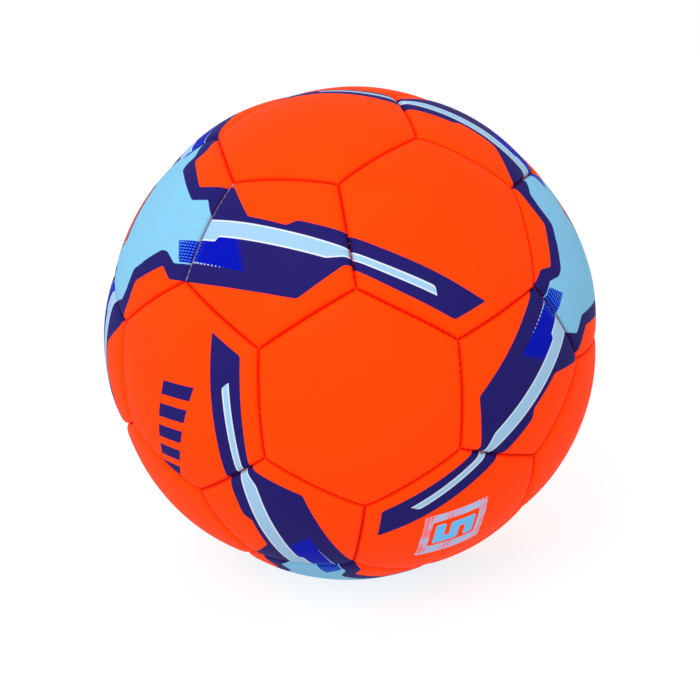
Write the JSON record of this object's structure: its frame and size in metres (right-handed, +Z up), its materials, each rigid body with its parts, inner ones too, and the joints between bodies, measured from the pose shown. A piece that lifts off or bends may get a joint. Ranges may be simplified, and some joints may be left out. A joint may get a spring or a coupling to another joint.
{
  "type": "soccer ball",
  "caption": "Round stitched soccer ball: orange hexagon and pentagon panels with navy, sky blue and royal blue print, thread in the seams, rubber bladder and needle valve.",
  "frame": {"origin": "centre of the ball", "axes": "-Y through the middle of the plain hexagon panel that faces the viewer, +Y through the valve in the hexagon opposite, +Z up through the middle of a seam between two hexagons, above a corner of the front hexagon"},
  "size_m": [0.2194, 0.2196, 0.217],
  "materials": {
    "hexagon_panel_skin": "matte grained synthetic leather, orange, with navy and sky blue print",
    "star_panel_skin": "matte grained synthetic leather, sky blue patch with a navy border on orange",
    "pentagon_panel_skin": "matte grained synthetic leather, navy band with sky and royal blue print on orange",
    "seam_thread": "waxed twisted polyester thread, dark red",
    "bladder_rubber": "matte black butyl rubber",
    "valve_rubber": "satin off-white moulded rubber",
    "valve_insert_silicone": "smooth grey silicone"
  },
  "bodies": {
    "root": {"hex_panel_01": "hexagon_panel_skin", "hex_panel_02": "hexagon_panel_skin", "hex_panel_03": "hexagon_panel_skin", "hex_panel_04": "hexagon_panel_skin", "hex_panel_05": "star_panel_skin", "hex_panel_06": "hexagon_panel_skin", "hex_panel_07": "star_panel_skin", "hex_panel_08": "hexagon_panel_skin", "hex_panel_09": "star_panel_skin", "hex_panel_10": "hexagon_panel_skin", "hex_panel_11": "hexagon_panel_skin", "hex_panel_12": "hexagon_panel_skin", "hex_panel_13": "hexagon_panel_skin", "hex_panel_14": "hexagon_panel_skin", "hex_panel_15": "hexagon_panel_skin", "hex_panel_16": "hexagon_panel_skin", "hex_panel_17": "hexagon_panel_skin", "hex_panel_18": "hexagon_panel_skin", "hex_panel_19": "hexagon_panel_skin", "hex_panel_20": "star_panel_skin", "pent_panel_01": "pentagon_panel_skin", "pent_panel_02": "pentagon_panel_skin", "pent_panel_03": "pentagon_panel_skin", "pent_panel_04": "pentagon_panel_skin", "pent_panel_05": "pentagon_panel_skin", "pent_panel_06": "pentagon_panel_skin", "pent_panel_07": "pentagon_panel_skin", "pent_panel_08": "pentagon_panel_skin", "pent_panel_09": "pentagon_panel_skin", "pent_panel_10": "pentagon_panel_skin", "pent_panel_11": "pentagon_panel_skin", "pent_panel_12": "pentagon_panel_skin", "seam_thread_01": "seam_thread", "seam_thread_02": "seam_thread", "seam_thread_03": "seam_thread", "seam_thread_04": "seam_thread", "seam_thread_05": "seam_thread", "seam_thread_06": "seam_thread", "seam_thread_07": "seam_thread", "seam_thread_08": "seam_thread", "seam_thread_09": "seam_thread", "seam_thread_10": "seam_thread", "seam_thread_11": "seam_thread", "seam_thread_12": "seam_thread", "bladder": "bladder_rubber", "valve_patch": "bladder_rubber", "valve_body": "valve_rubber", "valve_insert": "valve_insert_silicone"}
  },
  "joints": []
}
